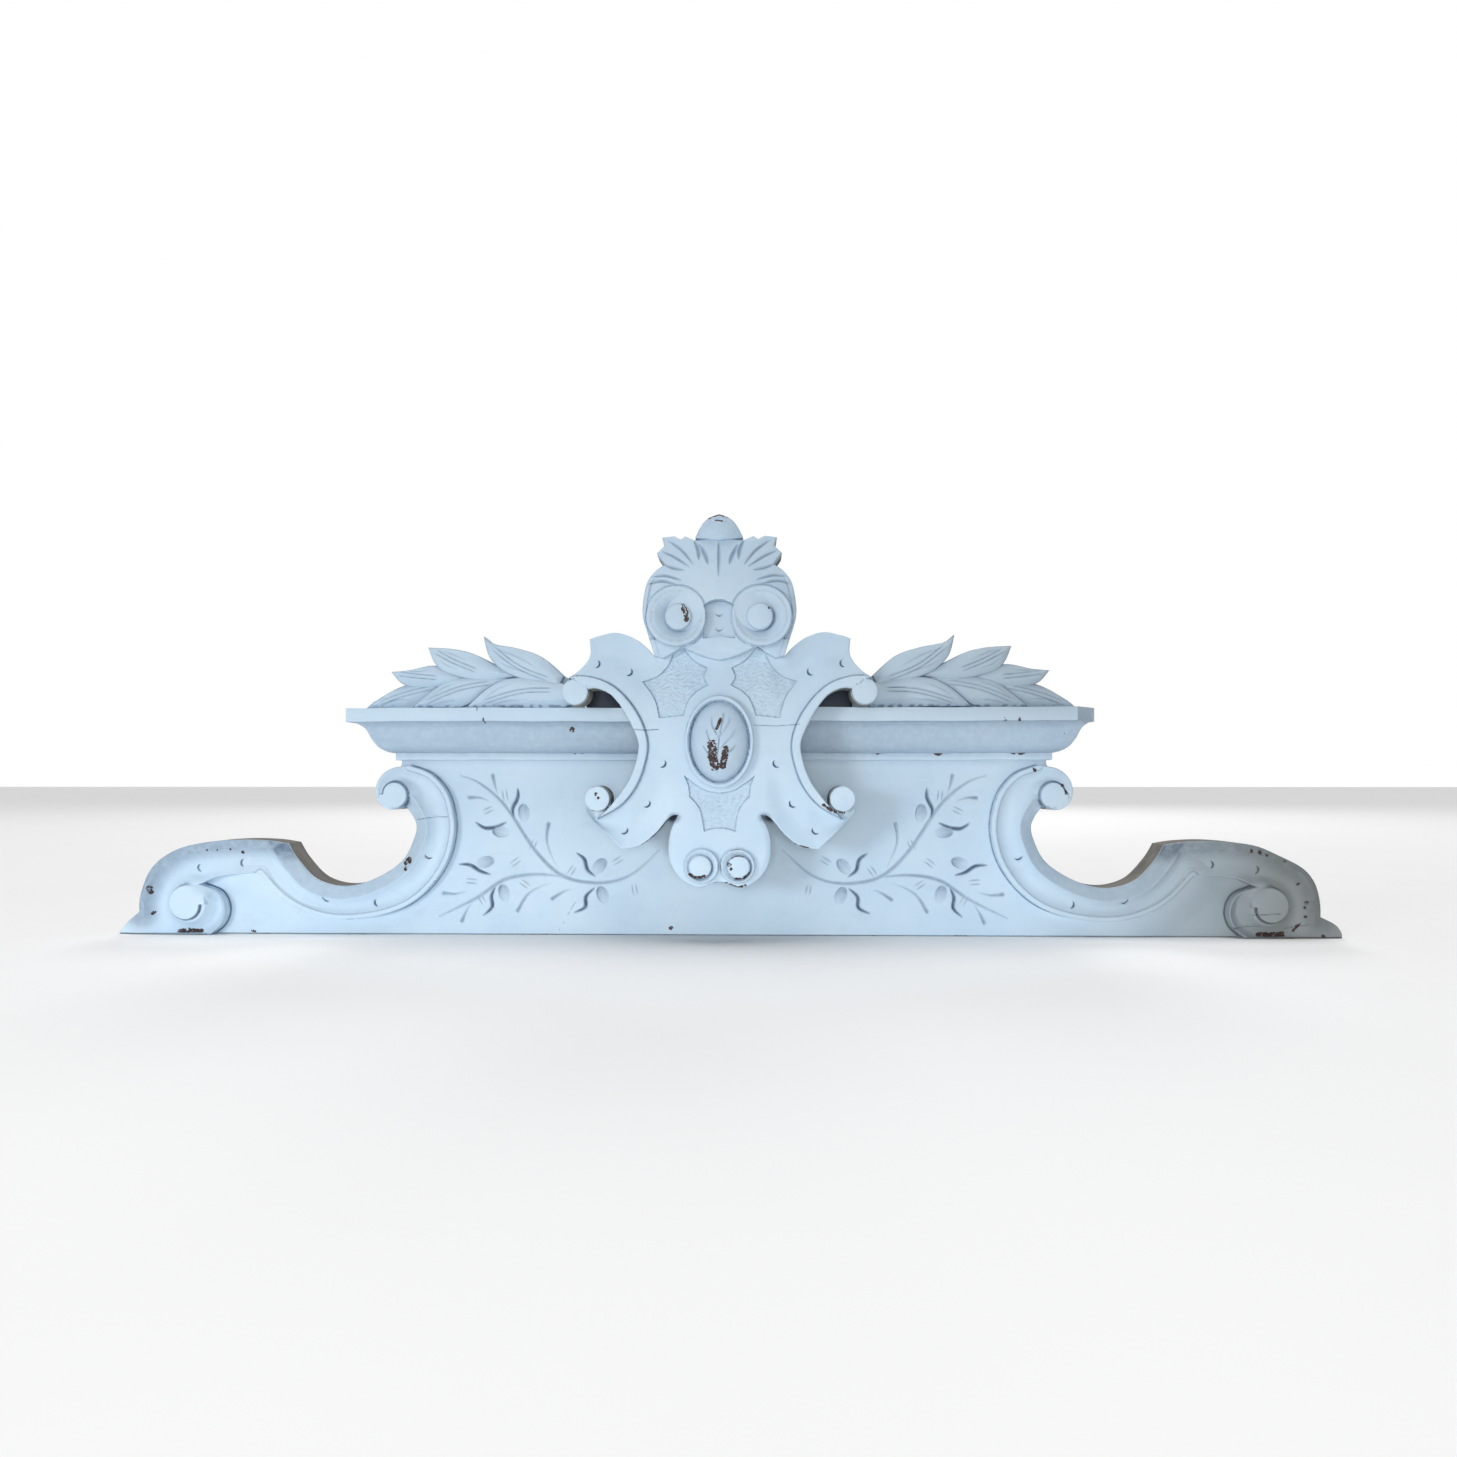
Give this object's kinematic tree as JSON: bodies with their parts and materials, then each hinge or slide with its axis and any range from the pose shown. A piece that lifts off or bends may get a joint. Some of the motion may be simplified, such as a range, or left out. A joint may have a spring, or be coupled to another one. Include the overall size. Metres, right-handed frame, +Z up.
{
  "type": "door pediment",
  "caption": "Carved painted-wood overdoor pediment: scrolled board with incised vine, crown moulding, laurel sprays and a central cartouche, fixed flat to a wall.",
  "frame": {"origin": "on the flat back face, on the centre line, 200 mm above the bottom edge, where it is fixed to the wall", "axes": "+X along the board to the right as seen from the front, +Y into the wall, +Z up"},
  "size_m": [1.596, 0.161, 0.524],
  "materials": {
    "painted_wood": "chipped pale blue paint, eggshell"
  },
  "bodies": {
    "root": {"main_board": "painted_wood", "cornice_front": "painted_wood", "cornice_return_left": "painted_wood", "cornice_return_right": "painted_wood", "leaf_spray_left": "painted_wood", "leaf_spray_right": "painted_wood", "cartouche": "painted_wood"}
  },
  "joints": []
}
